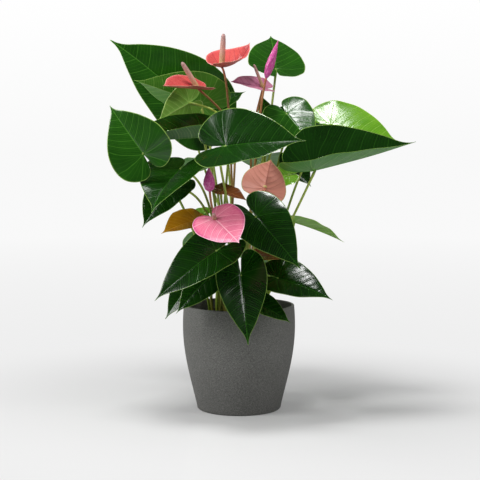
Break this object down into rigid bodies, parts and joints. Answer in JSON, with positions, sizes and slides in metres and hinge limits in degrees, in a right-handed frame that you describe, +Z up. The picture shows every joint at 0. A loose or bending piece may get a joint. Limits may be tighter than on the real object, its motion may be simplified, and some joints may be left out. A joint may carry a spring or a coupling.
{
  "type": "potted anthurium",
  "caption": "Flowering anthurium with glossy heart-shaped leaves and pink spathes, growing in a nursery pot inside a round grey cover pot.",
  "frame": {"origin": "centre of the cover pot's flat base, on the surface that it stands on", "axes": "+Z up along the pot's axis; the plant's fuller side, with the leaf that hangs over the rim, faces -Y; the longest leaf points to +X"},
  "size_m": [0.4952, 0.4605, 0.6244],
  "materials": {
    "cover_pot": "matt, fine-grained stone look",
    "nursery_pot": "thin black moulded plastic, satin",
    "soil": "crumbly peat and bark, matt",
    "leaf_dark": "waxy, glossy mature leaf",
    "leaf_young": "waxy, paler young leaf",
    "leaf_bronze": "newly opened bronze leaf, satin",
    "spathe_salmon": "waxy salmon red",
    "spathe_pink": "waxy pink",
    "spathe_mauve": "waxy mauve",
    "spathe_aged": "ageing, salmon brown",
    "bud_magenta": "rolled magenta bud",
    "spadix": "finely pimpled spike",
    "flower_stalk": "smooth stalk, olive to red-brown"
  },
  "bodies": {
    "root": {"cover_pot": "cover_pot", "nursery_pot": "nursery_pot", "potting_soil": "soil", "leaf_01": "leaf_dark", "leaf_02": "leaf_young", "leaf_03": "leaf_dark", "leaf_04": "leaf_young", "leaf_05": "leaf_dark", "leaf_06": "leaf_dark", "leaf_07": "leaf_dark", "leaf_08": "leaf_dark", "leaf_09": "leaf_bronze", "leaf_10": "leaf_young", "leaf_11": "leaf_dark", "leaf_12": "leaf_dark", "leaf_13": "leaf_young", "leaf_14": "leaf_dark", "leaf_15": "leaf_young", "leaf_16": "leaf_dark", "leaf_17": "leaf_dark", "leaf_18": "leaf_dark", "leaf_19": "leaf_young", "leaf_20": "leaf_dark", "leaf_21": "leaf_dark", "leaf_22": "leaf_dark", "leaf_23": "leaf_dark", "leaf_24": "leaf_dark", "leaf_25": "leaf_dark", "leaf_26": "leaf_bronze", "leaf_27": "leaf_bronze", "leaf_28": "leaf_young", "leaf_29": "leaf_dark", "leaf_30": "leaf_dark", "leaf_31": "leaf_dark", "leaf_32": "leaf_dark", "leaf_33": "leaf_dark", "leaf_34": "leaf_dark", "flower_1_spathe": "spathe_salmon", "flower_1_spadix": "spadix", "flower_1_stalk": "flower_stalk", "flower_2_spathe": "spathe_salmon", "flower_2_spadix": "spadix", "flower_2_stalk": "flower_stalk", "flower_4_spathe": "spathe_mauve", "flower_4_spadix": "spadix", "flower_4_stalk": "flower_stalk", "flower_6_spathe": "spathe_aged", "flower_6_spadix": "spadix", "flower_6_stalk": "flower_stalk", "flower_7_spathe": "spathe_pink", "flower_7_spadix": "spadix", "flower_7_stalk": "flower_stalk", "flower_3_bud": "bud_magenta", "flower_3_stalk": "flower_stalk", "flower_5_bud": "bud_magenta", "flower_5_stalk": "flower_stalk"}
  },
  "joints": []
}
